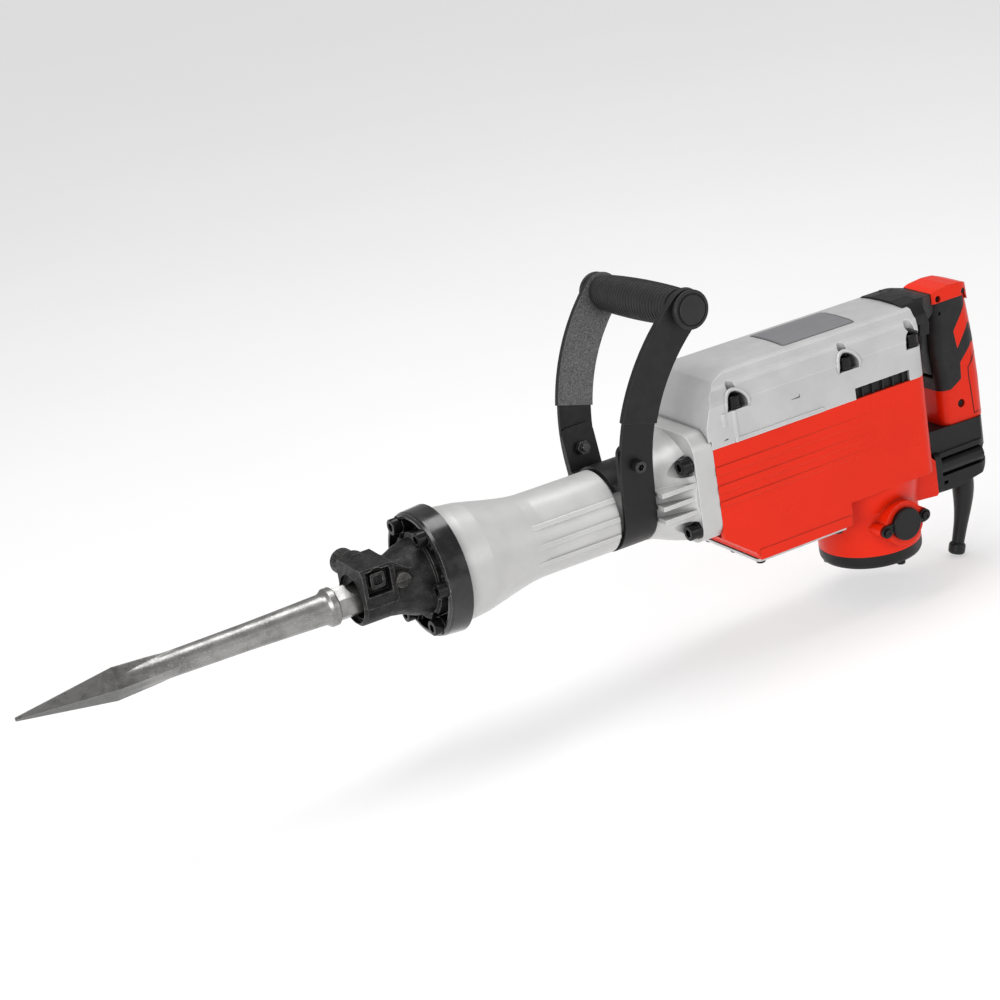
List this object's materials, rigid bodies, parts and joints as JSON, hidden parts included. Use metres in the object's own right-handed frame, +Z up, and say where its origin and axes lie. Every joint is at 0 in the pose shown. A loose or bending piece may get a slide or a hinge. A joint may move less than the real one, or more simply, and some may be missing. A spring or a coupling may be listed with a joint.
{
  "type": "electric jackhammer",
  "caption": "Electric breaker with a hex-shank point chisel, geared motor, crank-driven piston hammer, swivelling side handle and rear D-handle with trigger.",
  "frame": {"origin": "centre of the flat pad under the tail cover, on the motor's axis", "axes": "+X runs back along the barrel from the chisel to the rear handle, +Z up along the motor's axis towards the gear cover, +Y to the side with the retainer's knob"},
  "size_m": [1.106, 0.1852, 0.4117],
  "materials": {
    "case_grey": "satin silver-grey paint on a smooth casting",
    "cover_silver": "satin silver paint on a die casting",
    "ring_black": "satin black",
    "dark_iron": "dark rough casting with rubbed edges",
    "pin_steel": "turned steel",
    "black_screw": "black oxide",
    "ground_steel": "ground",
    "damper_rubber": "matte",
    "red_shell": "glossy moulded orange-red",
    "label_grey": "blank printed foil",
    "black_plastic": "fine texture",
    "gasket": "matte",
    "plate_silver": "plain sheet",
    "brass": "plain",
    "carbon": "graphite block",
    "lamination": "stacked sheets",
    "copper_winding": "varnished copper wire",
    "copper": "copper bars",
    "grip_rubber": "soft matte overmould",
    "guard_rubber": "smooth satin",
    "gear_steel": "hardened, oiled",
    "piston_alloy": "machined",
    "chisel_steel": "forged and shot blasted",
    "retainer_steel": "blackened steel, rubbed",
    "trigger_plastic": "fine texture",
    "strap_black": "matte black powder coat",
    "sleeve_rubber": "matte, speckled on the inside",
    "zinc_steel": "worn black oxide",
    "cap_rubber": "satin"
  },
  "bodies": {
    "hammer": {"cylinder_case": "case_grey", "front_ring": "ring_black", "retainer_case": "dark_iron", "retainer_lock_pin": "pin_steel", "front_cap_screws": "black_screw", "cylinder_liner": "ground_steel", "hammer_holder": "ground_steel", "holder_damper": "damper_rubber", "case_cap_screws": "black_screw", "motor_housing": "red_shell", "gear_cover": "cover_silver", "cover_cap_screws": "black_screw", "label_plate": "label_grey", "air_baffles": "black_plastic", "base_gasket": "gasket", "base_plate": "plate_silver", "base_screws": "black_screw", "tail_cover": "black_plastic", "tail_screws": "black_screw", "brush_caps": "black_plastic", "brush_cap_screws": "black_screw", "brush_holders": "brass", "carbon_brushes": "carbon", "stator_core": "lamination", "stator_coils": "copper_winding", "shaft_bearings": "ground_steel", "bearing_bridge": "cover_silver", "saddle_bracket": "black_plastic", "handle_cap": "red_shell", "rear_handle": "red_shell", "rear_grip": "grip_rubber", "handle_screws": "black_screw", "lower_bracket": "black_plastic", "switch_body": "black_plastic", "cord_guard": "guard_rubber", "trigger_pin": "pin_steel"},
    "armature": {"armature_shaft": "ground_steel", "commutator": "copper", "armature_core": "lamination", "armature_windings": "copper_winding", "cooling_fan": "black_plastic"},
    "intermediate": {"intermediate_gear": "gear_steel"},
    "crank": {"crankshaft": "gear_steel", "crank_gear": "gear_steel"},
    "piston": {"piston": "piston_alloy", "piston_seal": "damper_rubber", "piston_pin": "ground_steel"},
    "rod": {"connecting_rod": "piston_alloy", "crank_pin": "ground_steel"},
    "striker": {"striker": "ground_steel"},
    "impact_bolt": {"impact_bolt": "ground_steel"},
    "chisel": {"point_chisel": "chisel_steel"},
    "retainer": {"tool_retainer": "retainer_steel"},
    "trigger": {"trigger": "trigger_plastic"},
    "side_handle": {"handle_strap": "strap_black", "strap_sleeves": "sleeve_rubber", "handle_saddle": "strap_black", "handle_bolts": "zinc_steel", "side_grip": "grip_rubber", "grip_caps": "cap_rubber"}
  },
  "joints": [
    {"name": "armature_spin", "type": "hinge", "parent": "hammer", "child": "armature", "pos_m": [0, 0, 0.1], "axis": [0, 0, 1], "continuous": true},
    {"name": "intermediate_spin", "type": "hinge", "parent": "hammer", "child": "intermediate", "pos_m": [-0.045, 0, 0.21], "axis": [0, 0, 1], "continuous": true},
    {"name": "crank_spin", "type": "hinge", "parent": "hammer", "child": "crank", "pos_m": [-0.109, 0, 0.2], "axis": [0, 0, 1], "continuous": true},
    {"name": "piston_slide", "type": "slide", "parent": "hammer", "child": "piston", "axis": [-1, 0, 0], "range_m": [0, 0.052]},
    {"name": "rod_swing", "type": "hinge", "parent": "piston", "child": "rod", "pos_m": [-0.203, 0, 0.154], "axis": [0, 0, 1], "range_deg": [-12.5, 12.5]},
    {"name": "striker_slide", "type": "slide", "parent": "hammer", "child": "striker", "axis": [-1, 0, 0], "range_m": [0, 0.049]},
    {"name": "impact_bolt_slide", "type": "slide", "parent": "hammer", "child": "impact_bolt", "axis": [-1, 0, 0], "range_m": [0, 0.008]},
    {"name": "chisel_slide", "type": "slide", "parent": "hammer", "child": "chisel", "axis": [-1, 0, 0], "range_m": [-0.01, 0.01]},
    {"name": "retainer_turn", "type": "hinge", "parent": "hammer", "child": "retainer", "pos_m": [-0.587, 0, 0.176], "axis": [0, 1, 0], "range_deg": [0, 180]},
    {"name": "trigger_pull", "type": "hinge", "parent": "hammer", "child": "trigger", "pos_m": [0.106, 0, 0.244], "axis": [0, -1, 0], "range_deg": [0, 7], "stiffness_Nm_per_rad": 2, "springref_deg": -5.73},
    {"name": "side_handle_turn", "type": "hinge", "parent": "hammer", "child": "side_handle", "pos_m": [-0.303, 0, 0.154], "axis": [1, 0, 0], "continuous": true}
  ],
  "couplings": [
    {"joint": "intermediate_spin", "follows": "armature_spin", "ratio": -0.25},
    {"joint": "crank_spin", "follows": "armature_spin", "ratio": 0.07}
  ]
}
